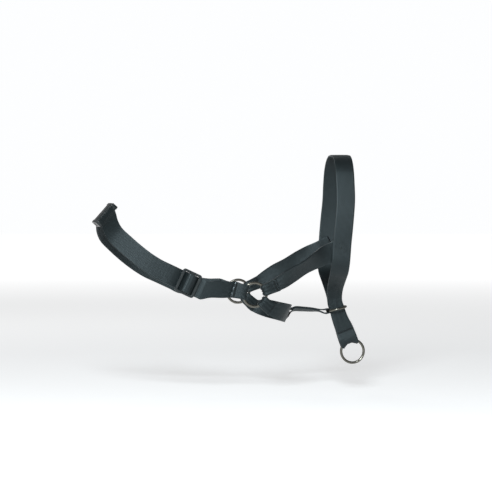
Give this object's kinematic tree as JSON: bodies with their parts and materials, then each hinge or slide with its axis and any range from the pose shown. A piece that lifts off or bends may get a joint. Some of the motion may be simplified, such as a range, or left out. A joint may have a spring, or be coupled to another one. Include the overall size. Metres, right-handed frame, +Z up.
{
  "type": "dog head halter",
  "caption": "Webbing head halter for a dog: nose strap, cheek and throat straps on side rings, adjustable neck strap with buckle, and a lead ring under the chin.",
  "frame": {"origin": "where the inner face of the nose strap rests on the bridge of the dog's nose", "axes": "+X forward along the muzzle, +Y to the dog's left, +Z up"},
  "size_m": [0.2956, 0.1229, 0.2268],
  "materials": {
    "webbing": "matte",
    "thread": "satin",
    "metal": "polished",
    "plastic": "glossy"
  },
  "bodies": {
    "head_piece": {"nose_strap": "webbing", "link_strap": "webbing", "throat_strap": "webbing", "right_cheek_strap": "webbing", "left_cheek_strap": "webbing", "cheek_box_stitches": "thread", "ring_bartacks": "thread", "link_bartacks": "thread"},
    "lead_tab": {"lead_tab": "webbing", "lead_bartack": "thread"},
    "lead_ring": {"lead_ring": "metal"},
    "guide_ring": {"guide_ring": "metal"},
    "right_side_ring": {"right_side_ring": "metal"},
    "left_side_ring": {"left_side_ring": "metal"},
    "neck_band": {"right_neck_strap": "webbing", "adjuster_run": "webbing", "right_neck_strap_rear": "webbing", "left_neck_strap": "webbing", "neck_bartacks": "thread", "buckle_socket": "plastic", "buckle_plug": "plastic"},
    "slider": {"slider": "plastic", "adjuster_eye": "webbing"},
    "upper_prong": {"upper_prong": "plastic"},
    "lower_prong": {"lower_prong": "plastic"}
  },
  "joints": [
    {"name": "neck_band_swing", "type": "hinge", "parent": "head_piece", "child": "neck_band", "pos_m": [-0.1023, 0, -0.1473], "axis": [0, 1, 0], "range_deg": [-15, 15]},
    {"name": "right_side_ring_spin", "type": "hinge", "parent": "head_piece", "child": "right_side_ring", "pos_m": [-0.1023, -0.052, -0.1473], "axis": [0, 1, 0], "continuous": true},
    {"name": "left_side_ring_spin", "type": "hinge", "parent": "head_piece", "child": "left_side_ring", "pos_m": [-0.1023, 0.052, -0.1473], "axis": [0, 1, 0], "continuous": true},
    {"name": "lead_tab_swing", "type": "hinge", "parent": "head_piece", "child": "lead_tab", "pos_m": [0.00142, 0, -0.17736], "axis": [0.9511, 0, 0.309], "range_deg": [-35, 35]},
    {"name": "lead_ring_spin", "type": "hinge", "parent": "lead_tab", "child": "lead_ring", "pos_m": [0.0147, 0, -0.21127], "axis": [0, 1, 0], "continuous": true},
    {"name": "guide_ring_slide", "type": "slide", "parent": "head_piece", "child": "guide_ring", "axis": [0.309, 0, -0.9511], "range_m": [-0.004, 0.008], "deforming": ["link_strap"]},
    {"name": "slider_slide", "type": "slide", "parent": "neck_band", "child": "slider", "axis": [-0.9063, 0, 0.4226], "range_m": [-0.003, 0.016], "deforming": ["adjuster_run"]},
    {"name": "upper_prong_squeeze", "type": "hinge", "parent": "neck_band", "child": "upper_prong", "pos_m": [-0.24978, -0.0067, -0.05705], "axis": [-0.7501, 0, 0.6613], "range_deg": [0, 11], "stiffness_Nm_per_rad": 0.02},
    {"name": "lower_prong_squeeze", "type": "hinge", "parent": "neck_band", "child": "lower_prong", "pos_m": [-0.26062, -0.0067, -0.06935], "axis": [0.7501, 0, -0.6613], "range_deg": [0, 11], "stiffness_Nm_per_rad": 0.02}
  ]
}
